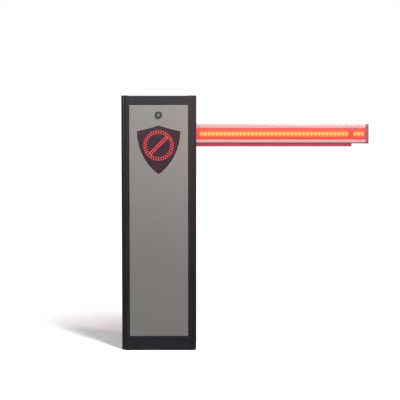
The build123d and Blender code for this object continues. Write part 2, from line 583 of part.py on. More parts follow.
BUFFER_R, BUFFER_T, BUFFER_AT = 9.0, 14.0, 60.0


def stop_plane(up):
    """Plane that faces along the push of the spring arm; up is 1 for the closed stop."""
    along = BUFFER_AT * cos(radians(45))
    side = (ARM_W / 2 + FREE + 0.1) * cos(radians(45))
    return Plane(
        origin=(-along + side, sum(ROCKER_Y) / 2, AXIS_Z + up * (along + side)),
        x_dir=(0, 1, 0),
        z_dir=(1, 0, up),
    )


with BuildPart() as stop_buffers:
    for up in (1, -1):
        with BuildSketch(stop_plane(up)):
            Circle(BUFFER_R)
        extrude(amount=BUFFER_T)
keep(stop_buffers, "stop_buffers")

STOP_REACH = PLATE_Y[0] - sum(ROCKER_Y) / 2
with BuildPart() as stop_brackets:
    for up in (1, -1):
        with BuildSketch(stop_plane(up).offset(BUFFER_T)):
            with Locations(((STOP_REACH - 12.0) / 2, 0)):
                Rectangle(STOP_REACH + 12.0, 26.0)
        extrude(amount=10.0)
keep(stop_brackets, "stop_brackets")

SENSOR_R, SENSOR_Z = 6.0, (AXIS_Z - 15.0, AXIS_Z + 15.0)
SENSOR_Y, SENSOR_X, SENSOR_NOSE = 63.0, (-94.0, -42.0), -39.0
BRACKET_X, BRACKET_Y, BRACKET_Z, BRACKET_T = (-84.0, -80.0), (44.0, 82.0), (AXIS_Z - 33.0, AXIS_Z + 33.0), 4.0
with BuildPart() as sensor_bracket:
    block(BRACKET_X, BRACKET_Y, BRACKET_Z)
    block((-PLATE_HALF + WEB_T, BRACKET_X[1]), (BRACKET_Y[0], BRACKET_Y[0] + BRACKET_T), BRACKET_Z)
    for z in SENSOR_Z:
        rod_x(SENSOR_R, BRACKET_X, SENSOR_Y, z, mode=Mode.SUBTRACT)
keep(sensor_bracket, "sensor_bracket")

with BuildPart() as limit_sensors:
    for z in SENSOR_Z:
        rod_x(SENSOR_R, SENSOR_X, SENSOR_Y, z)
        rod_x(SENSOR_R - 1.5, (SENSOR_X[1], SENSOR_NOSE), SENSOR_Y, z)
keep(limit_sensors, "limit_sensors")


# ---- controls -------------------------------------------------------------------------

BOX_X, BOX_Y, BOX_Z, BOX_WALL = (0.0, 104.0), (-60.0, 0.0), (190.0, 400.0), 2.5
LID_T = 4.0
BUTTON_Z, BUTTON_R = 370.0, 6.0
BUTTONS = {"button_open": 34.0, "button_close": 70.0}
BOARD_FRONT, BOARD_T = -24.0, 2.0
TERMINAL_ROW = ((12.0, 92.0), (-36.0, BOARD_FRONT), (200.0, 214.0))
RELAY = ((20.0, 50.0), (-40.0, BOARD_FRONT), (300.0, 330.0))
CAPACITORS = ((62.0, 86.0), (-34.0, BOARD_FRONT), (250.0, 320.0))

with BuildPart() as controller_box:
    block(BOX_X, BOX_Y, BOX_Z)
    fillet(controller_box.edges().filter_by(Axis.Y), 5.0)
    block(
        (BOX_X[0] + BOX_WALL, BOX_X[1] - BOX_WALL),
        (BOX_Y[0], BOX_Y[1] - BOX_WALL),
        (BOX_Z[0] + BOX_WALL, BOX_Z[1] - BOX_WALL),
        mode=Mode.SUBTRACT,
    )
keep(controller_box, "controller_box")

with BuildPart() as controller_lid:
    block(BOX_X, (BOX_Y[0] - LID_T, BOX_Y[0]), BOX_Z)
    fillet(controller_lid.edges().filter_by(Axis.Y), 5.0)
    for x in BUTTONS.values():
        rod_y(BUTTON_R + FREE, x, (BOX_Y[0] - LID_T, BOX_Y[0]), BUTTON_Z, mode=Mode.SUBTRACT)
keep(controller_lid, "controller_lid")

with BuildPart() as controller_board:
    block(
        (BOX_X[0] + BOX_WALL, BOX_X[1] - BOX_WALL),
        (BOARD_FRONT, BOARD_FRONT + BOARD_T),
        (BOX_Z[0] + BOX_WALL, BOX_Z[1] - BOX_WALL),
    )
    block(*TERMINAL_ROW)
    block(*RELAY)
    block(*CAPACITORS)
keep(controller_board, "controller_board")

for button_name, x in BUTTONS.items():
    with BuildPart() as button:
        rod_y(BUTTON_R, x, (BOX_Y[0] - LID_T - 4.0, BOX_Y[0] + 2.0), BUTTON_Z)
        rod_y(BUTTON_R + 2.0, x, (BOX_Y[0] + FREE, BOX_Y[0] + 3.0), BUTTON_Z)
        fillet(button.faces().sort_by(Axis.Y)[0].edges(), 1.0)
    keep(button, button_name)

BREAKER_X, BREAKER_Z = (10.0, 46.0), (84.0, 168.0)
TOGGLE_Y, TOGGLE_Z, TOGGLE_X = -62.0, 126.0, (21.0, 35.0)
BREAKER_FACE, NOSE_FACE, NOSE_HALF, SLOT_HALF = -54.0, -68.0, 22.0, 16.0
with BuildPart() as breaker:
    block(BREAKER_X, (BREAKER_FACE, 0.0), BREAKER_Z)
    block(BREAKER_X, (NOSE_FACE, BREAKER_FACE), (TOGGLE_Z - NOSE_HALF, TOGGLE_Z + NOSE_HALF))
    slot = (TOGGLE_Z - SLOT_HALF, TOGGLE_Z + SLOT_HALF)
    block(TOGGLE_X, (NOSE_FACE, BREAKER_FACE), slot, mode=Mode.SUBTRACT)
keep(breaker, "breaker")

with BuildPart() as breaker_toggle:
    rod_x(6.0, (TOGGLE_X[0] + FREE, TOGGLE_X[1] - FREE), TOGGLE_Y, TOGGLE_Z)
    lean = (0, -cos(pi / 7), sin(pi / 7))
    tilt = Plane(origin=(sum(TOGGLE_X) / 2, TOGGLE_Y, TOGGLE_Z), x_dir=(1, 0, 0), z_dir=lean)
    with BuildSketch(tilt):
        Rectangle(9.0, 4.0)
    extrude(amount=17.0)
keep(breaker_toggle, "breaker_toggle")

SUPPLY_X, SUPPLY_Y, SUPPLY_Z = (56.0, 106.0), (-56.0, 0.0), (70.0, 172.0)
SLIT_ROWS, SLIT_LOW, SLIT_PITCH, SLIT_H, SLIT_X, SLIT_DEPTH = 8, 88.0, 9.0, 4.0, (64.0, 98.0), 2.0
with BuildPart() as power_supply:
    block(SUPPLY_X, SUPPLY_Y, SUPPLY_Z)
    fillet(power_supply.edges().filter_by(Axis.Y), 2.0)
    for row in range(SLIT_ROWS):
        low = SLIT_LOW + SLIT_PITCH * row
        block(SLIT_X, (SUPPLY_Y[0], SUPPLY_Y[0] + SLIT_DEPTH), (low, low + SLIT_H), mode=Mode.SUBTRACT)
keep(power_supply, "power_supply")


# ---- boom -----------------------------------------------------------------------------

BOOM_FRONT, BOOM_REAR = BOOM_Y - BOOM_T / 2, BOOM_Y + BOOM_T / 2
CLAMP_T, CLAMP_HALF, CLAMP_BOLT_X, CLAMP_BOLT_Z = 8.0, 60.0, 38.0, 52.0
CLAMP_HEAD_T, HUB_R = 7.0, 50.0

with BuildPart() as boom_hub:
    rod_y(HUB_R, 0, HUB_Y, AXIS_Z)
    rod_y(SHAFT_R, 0, (HUB_Y[0], HUB_Y[1] - 2.0), AXIS_Z, mode=Mode.SUBTRACT)
    chamfer(boom_hub.faces().sort_by(Axis.Y)[0].edges(), 1.0)
keep(boom_hub, "boom_hub")

with BuildPart() as boom_clamps:
    for inner in (HUB_Y[1], BOOM_REAR):
        thick = BOOM_FRONT - HUB_Y[1] if inner == HUB_Y[1] else CLAMP_T
        with BuildSketch(facing(inner + thick)):
            with Locations((sum(CLAMP_X) / 2, AXIS_Z)):
                RectangleRounded(CLAMP_X[1] - CLAMP_X[0], 2 * CLAMP_HALF, 8)
                with GridLocations(2 * CLAMP_BOLT_X, 2 * CLAMP_BOLT_Z, 2, 2):
                    Circle(BOLT_HOLE, mode=Mode.SUBTRACT)
        extrude(amount=thick)
keep(boom_clamps, "boom_clamps")

with BuildPart() as clamp_bolts:
    for dx in (-CLAMP_BOLT_X, CLAMP_BOLT_X):
        for dz in (-CLAMP_BOLT_Z, CLAMP_BOLT_Z):
            x = sum(CLAMP_X) / 2 + dx
            z = AXIS_Z + dz
            rod_y(BOLT_R, x, (HUB_Y[1], BOOM_REAR + CLAMP_T), z)
            with BuildSketch(facing(HUB_Y[1])):
                with Locations((x, z)):
                    RegularPolygon(HEX_R, 6)
            extrude(amount=HEAD_T)
            with BuildSketch(facing(BOOM_REAR + CLAMP_T + CLAMP_HEAD_T)):
                with Locations((x, z)):
                    RegularPolygon(HEX_R, 6)
            extrude(amount=CLAMP_HEAD_T)
keep(clamp_bolts, "clamp_bolts")

with BuildPart() as boom_profile:
    with BuildSketch(Plane.YZ.offset(BOOM_X[0])):
        with Locations((BOOM_Y, AXIS_Z)):
            RectangleRounded(BOOM_T, BOOM_H, 6.0)
            Rectangle(BOOM_T - 2 * (LENS_RECESS + BOOM_WALL), BOOM_H - 2 * BOOM_WALL, mode=Mode.SUBTRACT)
        for up in (-1, 1):
            with Locations((BOOM_Y, AXIS_Z + up * (BOOM_H + LENS_H) / 4)):
                Rectangle(BOOM_T - 2 * BOOM_WALL, (BOOM_H - LENS_H) / 2 - 2 * BOOM_WALL, mode=Mode.SUBTRACT)
        for side in (-1, 1):
            with Locations((BOOM_Y + side * (BOOM_T - LENS_RECESS) / 2, AXIS_Z)):
                Rectangle(LENS_RECESS, LENS_H, mode=Mode.SUBTRACT)
    extrude(amount=BOOM_X[1] - BOOM_X[0])
keep(boom_profile, "boom_profile")

LENS_X, LENS_T = (100.0, BOOM_X[1]), 3.0
STRIP_X, STRIP_H, STRIP_T = (104.0, BOOM_X[1] - 4.0), 12.0, 2.5


LENS_INSET = 0.6
with BuildPart() as boom_lenses:
    for side in (-1, 1):
        outer = BOOM_Y + side * (BOOM_T / 2 - LENS_INSET)
        block(LENS_X, sorted((outer, outer - side * LENS_T)), (AXIS_Z - LENS_H / 2, AXIS_Z + LENS_H / 2))
    long_edges = boom_lenses.edges().filter_by(Axis.X).group_by(Axis.Y)
    fillet(long_edges[0] + long_edges[-1], 1.5)
keep(boom_lenses, "boom_lenses")

with BuildPart() as led_strips:
    for side in (-1, 1):
        floor = BOOM_Y + side * (BOOM_T / 2 - LENS_RECESS)
        block(STRIP_X, sorted((floor, floor + side * STRIP_T)), (AXIS_Z - STRIP_H / 2, AXIS_Z + STRIP_H / 2))
keep(led_strips, "led_strips")

EDGE_T = 21.0
with BuildPart() as boom_edge:
    with BuildSketch(Plane.YZ.offset(CLAMP_X[1] + 10.0)):
        with Locations((BOOM_Y, AXIS_Z - BOOM_H / 2 - EDGE_DROP / 2)):
            Rectangle(EDGE_T, EDGE_DROP)
            RectangleRounded(EDGE_T - 6.0, EDGE_DROP - 6.0, 2.5, mode=Mode.SUBTRACT)
    extrude(amount=EDGE_END - CLAMP_X[1] - 10.0)
    fillet(boom_edge.edges().filter_by(Axis.X).group_by(Axis.Z)[0], 4.0)
keep(boom_edge, "boom_edge")


BUTT_CAP, CAP_ROUND = 6.0, 3.0
with BuildPart() as boom_caps:
    for start, length in ((BOOM_X[1], BOOM_CAP), (BOOM_X[0] - BUTT_CAP, BUTT_CAP)):
        with BuildSketch(Plane.YZ.offset(start)):
            with Locations((BOOM_Y, AXIS_Z)):
                RectangleRounded(BOOM_T, BOOM_H, 6.0)
        extrude(amount=length)
    ends = boom_caps.faces().sort_by(Axis.X)
    fillet(ends[0].edges() + ends[-1].edges(), CAP_ROUND)
keep(boom_caps, "boom_caps")
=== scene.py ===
"""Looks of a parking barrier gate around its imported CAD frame. Metres, Z up, boom along +X, door towards -Y."""
import math

import bmesh
import bpy
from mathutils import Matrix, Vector


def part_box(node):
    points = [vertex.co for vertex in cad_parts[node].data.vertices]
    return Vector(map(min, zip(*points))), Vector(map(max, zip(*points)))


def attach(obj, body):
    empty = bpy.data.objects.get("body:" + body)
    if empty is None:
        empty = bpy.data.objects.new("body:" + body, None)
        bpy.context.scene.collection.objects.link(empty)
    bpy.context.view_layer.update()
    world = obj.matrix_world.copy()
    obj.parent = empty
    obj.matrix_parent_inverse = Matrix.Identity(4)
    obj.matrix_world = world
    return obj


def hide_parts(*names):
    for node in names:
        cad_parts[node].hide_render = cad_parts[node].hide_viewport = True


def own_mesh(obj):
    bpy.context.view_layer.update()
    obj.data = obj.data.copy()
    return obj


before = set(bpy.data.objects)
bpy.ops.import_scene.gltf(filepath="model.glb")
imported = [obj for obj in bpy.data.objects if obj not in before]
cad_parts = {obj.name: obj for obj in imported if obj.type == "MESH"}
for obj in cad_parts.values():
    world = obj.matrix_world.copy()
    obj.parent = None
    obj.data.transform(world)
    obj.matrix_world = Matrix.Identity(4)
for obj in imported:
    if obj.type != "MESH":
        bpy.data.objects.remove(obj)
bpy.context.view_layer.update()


# ---- material nodes -------------------------------------------------------------------

class Look:
    """One procedural material, with short calls that add nodes to it."""

    def __init__(self, name):
        self.material = bpy.data.materials.new(name)
        self.material.use_nodes = True
        self.nodes = self.material.node_tree.nodes
        self.wires = self.material.node_tree.links
        self.shader = self.nodes["Principled BSDF"]
        self.out = self.nodes["Material Output"].inputs["Surface"]
        self.place = self.node("ShaderNodeTexCoord").outputs["Object"]

    def feed(self, socket, value):
        if isinstance(value, bpy.types.NodeSocket):
            self.wires.new(value, socket)
        else:
            socket.default_value = value

    def node(self, kind, sockets=None, **settings):
        made = self.nodes.new(kind)
        for key, value in settings.items():
            setattr(made, key, value)
        for key, value in (sockets or {}).items():
            self.feed(made.inputs[key], value)
        return made

    def math(self, operation, *values):
        made = self.node("ShaderNodeMath", operation=operation)
        for socket, value in zip(made.inputs, values):
            self.feed(socket, value)
        return made.outputs[0]

    def noise(self, scale, detail=3.0, stretch=(1.0, 1.0, 1.0)):
        spread = self.node("ShaderNodeMapping", {"Vector": self.place, "Scale": stretch})
        made = self.node("ShaderNodeTexNoise",
                         {"Vector": spread.outputs[0], "Scale": scale, "Detail": detail})
        return made.outputs[0]

    def between(self, value, low, high, to_low=0.0, to_high=1.0):
        sockets = {"Value": value, "From Min": low, "From Max": high, "To Min": to_low, "To Max": to_high}
        return self.node("ShaderNodeMapRange", sockets).outputs[0]

    def mix(self, factor, first, second):
        made = self.node("ShaderNodeMix", data_type="RGBA")
        for index, value in ((0, factor), (6, first), (7, second)):
            self.feed(made.inputs[index], value)
        return made.outputs[2]

    def ramp(self, value, stops):
        made = self.node("ShaderNodeValToRGB", {"Fac": value})
        points = made.color_ramp.elements
        while len(points) < len(stops):
            points.new(0.5)
        for point, (position, color) in zip(points, stops):
            point.position = position
            point.color = (*color, 1.0)
        return made.outputs[0]

    def split(self):
        return self.node("ShaderNodeSeparateXYZ", {"Vector": self.place}).outputs


DIAGONAL = math.sqrt(0.5)
UNEVEN_ROUGHNESS = 0.04
COAT_ROUGHNESS = 0.12
GRAIN_DEPTH = 0.0004
DUST_TOP = 0.22
DUST_COLOR = (0.33, 0.31, 0.28, 1)


def shade(color, factor):
    return tuple(min(1.0, part * factor) for part in color) + (1.0,)


def surface(name, color, rough, metal=0.0, tone=0.06, patch=5.0, grain=700.0, bump=0.12, stretch=(1, 1, 1),
            coat=0.0, wear=0.0, bare=(0.45, 0.45, 0.46), edge=0.0007, dust=0.0):
    """Solid finish: broad tone patches, fine grain in bump and roughness, softened and lightly worn edges."""
    look = Look(name)
    patches = look.noise(patch, 4.0)
    fine = look.noise(grain, 2.0, stretch)
    base = look.mix(patches, shade(color, 1 - tone), shade(color, 1 + tone))
    rounded = look.node("ShaderNodeBevel", {"Radius": edge}, samples=4)
    if wear:
        flat = look.node("ShaderNodeNewGeometry").outputs["Normal"]
        same = look.node("ShaderNodeVectorMath", {0: rounded.outputs[0], 1: flat}, operation="DOT_PRODUCT")
        on_edge = look.between(same.outputs["Value"], 0.98, 0.8)
        rub = look.math("MULTIPLY", on_edge, look.between(look.noise(60.0), 0.4, 0.65))
        base = look.mix(look.math("MULTIPLY", rub, wear), base, shade(bare, 1.0))
    if dust:
        low = look.between(look.split()[2], DUST_TOP, 0.0)
        settled = look.math("MULTIPLY", look.math("MULTIPLY", low, patches), dust)
        base = look.mix(settled, base, DUST_COLOR)
    look.feed(look.shader.inputs["Base Color"], base)
    fine_part = look.between(fine, 0.3, 0.7, -UNEVEN_ROUGHNESS, UNEVEN_ROUGHNESS)
    broad_part = look.between(patches, 0.3, 0.7, -UNEVEN_ROUGHNESS, UNEVEN_ROUGHNESS)
    uneven = look.math("ADD", fine_part, broad_part)
    look.feed(look.shader.inputs["Roughness"], look.math("ADD", uneven, rough))
    look.shader.inputs["Metallic"].default_value = metal
    look.shader.inputs["Coat Weight"].default_value = coat
    look.shader.inputs["Coat Roughness"].default_value = COAT_ROUGHNESS
    relief = {"Strength": bump, "Distance": GRAIN_DEPTH, "Height": fine, "Normal": rounded.outputs[0]}
    look.feed(look.shader.inputs["Normal"], look.node("ShaderNodeBump", relief).outputs[0])
    return look


STRETCH_X, STRETCH_Y, STRETCH_Z = (0.02, 1, 1), (1, 0.02, 1), (1, 1, 0.02)

powder = surface("graphite_powder", (0.024, 0.0225, 0.0285), 0.35, tone=0.08, grain=900, bump=0.2, wear=0.3)
silver = surface("silver_lacquer", (0.335, 0.336, 0.318), 0.42, 0.25, tone=0.03, patch=3, grain=1500,
                 bump=0.05, coat=0.1)
mill = surface("mill_aluminium", (0.62, 0.62, 0.63), 0.38, 0.9, grain=500, stretch=STRETCH_Z)
anodised = surface("anodised_extrusion", (0.56, 0.46, 0.46), 0.44, 0.25, tone=0.04, grain=420, bump=0.05,
                   stretch=STRETCH_X)
zinc = surface("zinc_plate", (0.62, 0.61, 0.57), 0.33, 0.95, tone=0.12, patch=40, grain=900, wear=0.2)
ground = surface("ground_steel", (0.58, 0.58, 0.59), 0.24, 1.0, grain=900, bump=0.08, stretch=STRETCH_Y)
primer = surface("chassis_enamel", (0.30, 0.31, 0.32), 0.50, tone=0.08, grain=500, bump=0.18, wear=0.5,
                 dust=0.3)
casting = surface("bearing_casting", (0.05, 0.12, 0.10), 0.48, tone=0.15, patch=25, grain=260, bump=0.5,
                  wear=0.6)
gear_cast = surface("gearbox_casting", (0.27, 0.28, 0.29), 0.45, 0.2, tone=0.12, patch=25, grain=240,
                    bump=0.5, wear=0.5)
enamel = surface("orange_enamel", (0.62, 0.20, 0.02), 0.33, tone=0.08, grain=300, bump=0.15, coat=0.3,
                 wear=0.7)
motor_blue = surface("motor_enamel", (0.04, 0.09, 0.20), 0.38, tone=0.10, grain=300, bump=0.2, coat=0.2,
                     wear=0.5)
bearing = surface("bearing_race", (0.70, 0.70, 0.71), 0.14, 1.0, tone=0.03, grain=900, bump=0.04)
spring_steel = surface("oiled_spring_steel", (0.10, 0.095, 0.09), 0.30, 0.85, tone=0.3, patch=30, grain=900,
                       bump=0.15)
rubber = surface("black_rubber", (0.022, 0.022, 0.023), 0.62, tone=0.15, patch=30, grain=800, bump=0.35)
edge_rubber = surface("boom_edge_rubber", (0.80, 0.17, 0.23), 0.52, tone=0.10, patch=14, grain=700, bump=0.25)
mould_black = surface("black_moulding", (0.03, 0.03, 0.032), 0.45, tone=0.1, grain=1100, bump=0.3)
mould_grey = surface("grey_moulding", (0.56, 0.57, 0.55), 0.46, tone=0.04, grain=1100, bump=0.25, dust=0.2)
cap_grey = surface("cap_moulding", (0.25, 0.095, 0.13), 0.46, tone=0.08, grain=900, bump=0.25)
sheet_metal = surface("folded_sheet", (0.60, 0.60, 0.61), 0.36, 0.9, tone=0.08, patch=12, grain=600,
                      stretch=STRETCH_X)
green = surface("green_button", (0.02, 0.36, 0.07), 0.28, tone=0.05, grain=900, bump=0.06, coat=0.4)
red = surface("red_button", (0.58, 0.02, 0.015), 0.28, tone=0.05, grain=900, bump=0.06, coat=0.4)
plate = surface("lock_plate", (0.075, 0.085, 0.085), 0.30, 0.8, tone=0.10, patch=60, grain=900, bump=0.1,
                wear=0.3)
barrel = surface("lock_barrel", (0.30, 0.31, 0.31), 0.32, 0.9, tone=0.08, patch=60, grain=900, bump=0.1,
                 wear=0.3)


def circuit_board(name, color, track):
    """Solder mask with a web of faint tracks and scattered pads."""
    look = surface(name, color, 0.34, tone=0.05, grain=900, bump=0.05, coat=0.4)
    cells = look.node("ShaderNodeTexVoronoi", {"Vector": look.place, "Scale": 160.0},
                      feature="DISTANCE_TO_EDGE")
    pads = look.node("ShaderNodeTexVoronoi", {"Vector": look.place, "Scale": 130.0})
    lines = look.between(cells.outputs["Distance"], 0.09, 0.05)
    spots = look.between(pads.outputs["Distance"], 0.16, 0.12)
    before = look.shader.inputs["Base Color"].links[0].from_socket
    traced = look.mix(look.math("MULTIPLY", lines, 0.5), before, shade(track, 1.0))
    look.feed(look.shader.inputs["Base Color"], look.mix(spots, traced, (0.55, 0.50, 0.38, 1)))
    return look


green_board = circuit_board("green_board", (0.012, 0.12, 0.04), (0.03, 0.25, 0.08))
black_board = circuit_board("black_board", (0.012, 0.010, 0.012), (0.03, 0.028, 0.03))
white_board = circuit_board("white_board", (0.62, 0.56, 0.50), (0.70, 0.62, 0.56))


def threaded(name, color, pitch, along):
    """Metal barrel with a fine thread along one axis."""
    look = surface(name, color, 0.25, 1.0, tone=0.08, grain=700)
    turn = look.math("SINE", look.math("MULTIPLY", look.split()[along], 2 * math.pi / pitch))
    relief = {"Strength": 0.9, "Distance": 0.0005, "Height": turn}
    look.feed(look.shader.inputs["Normal"], look.node("ShaderNodeBump", relief).outputs[0])
    return look


sensor_brass = threaded("sensor_barrel", (0.66, 0.60, 0.46), 0.0015, 0)
zinc_thread = threaded("threaded_rod", (0.60, 0.60, 0.57), 0.0015, 2)


def lamp(name, core, rim, strength):
    """Small lit dome: pale where it faces the eye, saturated at its rim."""
    look = surface(name, rim, 0.2, tone=0.05, grain=500, bump=0.02, coat=0.5)
    facing = look.node("ShaderNodeLayerWeight", {"Blend": 0.35}).outputs["Facing"]
    look.feed(look.shader.inputs["Emission Color"], look.mix(facing, shade(core, 1.0), shade(rim, 1.0)))
    look.shader.inputs["Emission Strength"].default_value = strength
    return look


sign_red = lamp("sign_lamp", (1.0, 0.36, 0.26), (0.95, 0.04, 0.05), 5.0)
chip_red = lamp("strip_lamp", (1.0, 0.55, 0.20), (1.0, 0.08, 0.02), 3.0)
status_green = lamp("status_lamp", (0.35, 1.0, 0.35), (0.02, 0.6, 0.08), 1.6)


# ---- where things are, from the frame ---------------------------------------------------

def corners(node):
    low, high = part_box(node)
    return Vector(low), Vector(high)


lens_low, lens_high = corners("boom_lenses")
strip_low, strip_high = corners("led_strips")
boom_low, boom_high = corners("boom_profile")
window_low = corners("sign_window")[0]
board_low = corners("sign_board")[0]

CHIP_PITCH = 1 / 60              # sixty chips a metre
CHIP_COUNT, CHIP_MISSING = 42, 38    # chips in the row, and the one left out
FIRST_CHIP = 0.171               # X of the first chip
BOOM_MID_Z = (boom_low.z + boom_high.z) / 2
BOOM_MID_Y = (boom_low.y + boom_high.y) / 2
chip_places = [FIRST_CHIP + CHIP_PITCH * i for i in range(CHIP_COUNT) if i != CHIP_MISSING]
BAND_WIDTH, BAND_HEIGHT, BAND_SHARE = 0.0095, 0.0145, 0.72
SPOT_WIDTH, SPOT_HEIGHT, SPOT_SHARE = 0.0050, 0.0085, 0.28
LENS_LIGHT = 0.92


def glowing_lens():
    """Red diffuser: a warm band along the row of chips, with a soft spot over each chip."""
    look = surface("lit_diffuser", (0.15, 0.012, 0.010), 0.42, tone=0.03, grain=900, bump=0.05, coat=0.05)
    x, _, z = look.split()
    step = look.math("DIVIDE", look.math("SUBTRACT", x, FIRST_CHIP), CHIP_PITCH)
    nearest = look.math("MINIMUM", look.math("MAXIMUM", look.math("ROUND", step), 0), CHIP_COUNT - 1)
    dark = look.math("COMPARE", nearest, CHIP_MISSING, 0.4)
    sideways = look.math("SUBTRACT", step, nearest)
    last = CHIP_MISSING - 1
    inside = look.math("MAXIMUM", look.math("MINIMUM", step, last), 0)
    after = look.math("MAXIMUM", look.math("MINIMUM", step, CHIP_COUNT - 1), CHIP_MISSING + 1)
    to_first = look.math("ABSOLUTE", look.math("SUBTRACT", step, inside))
    to_last = look.math("ABSOLUTE", look.math("SUBTRACT", step, after))
    gap = look.math("MULTIPLY", look.math("MINIMUM", to_first, to_last), CHIP_PITCH)
    up = look.math("SUBTRACT", z, BOOM_MID_Z)

    def bell(width, height, along):
        flat = look.math("POWER", look.math("DIVIDE", up, height), 2)
        long = look.math("POWER", look.math("DIVIDE", along, width), 2)
        return look.math("EXPONENT", look.math("MULTIPLY", look.math("ADD", flat, long), -1))

    band = bell(BAND_WIDTH, BAND_HEIGHT, gap)
    spot_reach = look.math("MULTIPLY", sideways, CHIP_PITCH)
    lit = look.math("SUBTRACT", 1, dark)
    spot = look.math("MULTIPLY", bell(SPOT_WIDTH, SPOT_HEIGHT, spot_reach), lit)
    level = look.math("ADD", look.math("MULTIPLY", band, BAND_SHARE), look.math("MULTIPLY", spot, SPOT_SHARE))
    glow = look.ramp(level, [(0.0, (0.78, 0.085, 0.085)), (0.16, (0.84, 0.075, 0.055)), (0.42,
                                                                                         (0.97, 0.16, 0.045)),
                             (0.70, (1.0, 0.37, 0.085)), (0.88, (1.0, 0.60, 0.15)), (1.0, (1.0, 0.76, 0.27))])
    look.feed(look.shader.inputs["Emission Color"], glow)
    look.shader.inputs["Emission Strength"].default_value = LENS_LIGHT
    return look


diffuser = glowing_lens()


def painted_strip_glow(look, tint, strength, reach):
    """Painted red glow of the strip: emission on a boom surface, fading away from the lens."""
    up = look.math("ABSOLUTE", look.math("SUBTRACT", look.split()[2], BOOM_MID_Z))
    half = (lens_high.z - lens_low.z) / 2
    near = look.math("SUBTRACT", 1, look.between(up, half, half + reach))
    look.feed(look.shader.inputs["Emission Strength"], look.math("MULTIPLY", near, strength))
    look.shader.inputs["Emission Color"].default_value = shade(tint, 1.0)


# painted glow: the strip's red light is painted as emission on the boom's band, the edge rubber and the end caps
painted_strip_glow(anodised, (1.0, 0.16, 0.17), 0.42, 0.022)
painted_strip_glow(edge_rubber, (0.62, 0.10, 0.16), 0.55, 0.06)
painted_strip_glow(cap_grey, (0.62, 0.10, 0.16), 0.25, 0.06)


# ---- mesh helpers -----------------------------------------------------------------------

def piece(name, mesh, body, look, smooth=40):
    """Turn a bmesh into a named piece that rides on a body."""
    bmesh.ops.recalc_face_normals(mesh, faces=mesh.faces)
    data = bpy.data.meshes.new(name)
    mesh.to_mesh(data)
    mesh.free()
    made = bpy.data.objects.new(name, data)
    bpy.context.scene.collection.objects.link(made)
    data.materials.append(look.material)
    for face in data.polygons:
        face.use_smooth = True
    data.set_sharp_from_angle(angle=math.radians(smooth))
    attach(made, body)
    return made


def ring_of(mesh, points):
    return [mesh.verts.new(point) for point in points]


def bridge(mesh, first, second):
    count = len(first)
    for i in range(count):
        j = (i + 1) % count
        mesh.faces.new((first[i], first[j], second[j], second[i]))


def lathe(mesh, origin, axis, profile, sides=20, twist=0.0):
    """Turned solid: profile is (radius, height) pairs along the axis, closed at both ends."""
    turn = Vector(axis).to_track_quat("Z", "Y").to_matrix()
    rings = []
    for radius, height in profile:
        angles = [twist + 2 * math.pi * i / sides for i in range(sides)]
        points = [Vector((radius * math.cos(a), radius * math.sin(a), height)) for a in angles]
        rings.append(ring_of(mesh, [Vector(origin) + turn @ point for point in points]))
    for first, second in zip(rings, rings[1:]):
        bridge(mesh, first, second)
    mesh.faces.new(rings[0])
    mesh.faces.new(rings[-1])


def extrude_x(mesh, section, x_low, x_high):
    """Closed bar of the (y, z) section between two X values."""
    ends = [ring_of(mesh, [(x, y, z) for y, z in section]) for x in (x_low, x_high)]
    bridge(mesh, *ends)
    for end in ends:
        mesh.faces.new(end)


def screw(mesh, origin, axis, radius):
    """Button-head screw with a six-sided socket."""
    height = radius * 0.55
    dome = [(radius * math.cos(a), height * math.sin(a)) for a in (0.0, 0.35, 0.7, 1.05)]
    lathe(mesh, origin, axis, [(radius, -0.0004), *dome, (radius * 0.44, height * 0.92)], 20)
    hollow = Vector(origin) + Vector(axis).normalized() * height * 0.93
    lathe(mesh, hollow, axis, [(radius * 0.42, 0), (radius * 0.36, 0.0002)], 6)


def box_with_round(mesh, low, high, bevel):
    """Box with bevelled edges."""
    made = bmesh.ops.create_cube(mesh, size=1.0)["verts"]
    low, high = Vector(low), Vector(high)
    for vert in made:
        vert.co = Vector([low[i] + (vert.co[i] + 0.5) * (high[i] - low[i]) for i in range(3)])
    edges = {edge for vert in made for edge in vert.link_edges}
    bmesh.ops.bevel(mesh, geom=list(edges), offset=bevel, segments=3, affect="EDGES", profile=0.5)


# ---- boom lights ------------------------------------------------------------------------

def lens_piece(name, side):
    """Diffuser with a shallow dome and a rounded lip along both long edges."""
    half = (lens_high.z - lens_low.z) / 2
    outer = BOOM_MID_Y + side * (lens_high.y - lens_low.y) / 2
    crown, lip, thick, end_gap = 0.0006, 0.0016, 0.0026, 0.0002
    lip_start, lip_share = 0.93, 0.07
    steps = 12
    front = []
    for i in range(steps + 1):
        t = -1 + 2 * i / steps
        dip = lip * max(0.0, abs(t) - lip_start) / lip_share
        front.append((outer - side * (crown * t * t + dip), BOOM_MID_Z + half * t))
    back = [(outer - side * thick, BOOM_MID_Z + half * t) for t in (1, 0.5, 0, -0.5, -1)]
    mesh = bmesh.new()
    extrude_x(mesh, front + back, lens_low.x, lens_high.x - end_gap)
    return piece(name, mesh, "boom", diffuser, 30)


front_lens = lens_piece("boom_lens_front", -1)
lens_piece("boom_lens_rear", 1)
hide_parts("boom_lenses")


def boom_chips(name, side):
    """Square light chips with a small dome, soldered along the strip on one side."""
    face = strip_low.y if side < 0 else strip_high.y
    mesh = bmesh.new()
    size, tall, sunk = 0.0025, 0.0015, 0.0001
    for x in chip_places:
        ends = sorted((face - side * sunk, face + side * tall))
        low, high = (x - size, ends[0], BOOM_MID_Z - size), (x + size, ends[1], BOOM_MID_Z + size)
        box_with_round(mesh, low, high, 0.0003)
        origin = (x, face + side * tall, BOOM_MID_Z)
        lathe(mesh, origin, (0, side, 0), [(0.0019, 0), (0.0017, 0.0005), (0.001, 0.0009), (0.0003, 0.001)],
              10)
    return piece(name, mesh, "boom", chip_red)


boom_chips("strip_chips_front", -1)
boom_chips("strip_chips_rear", 1)


# ---- light sign -------------------------------------------------------------------------

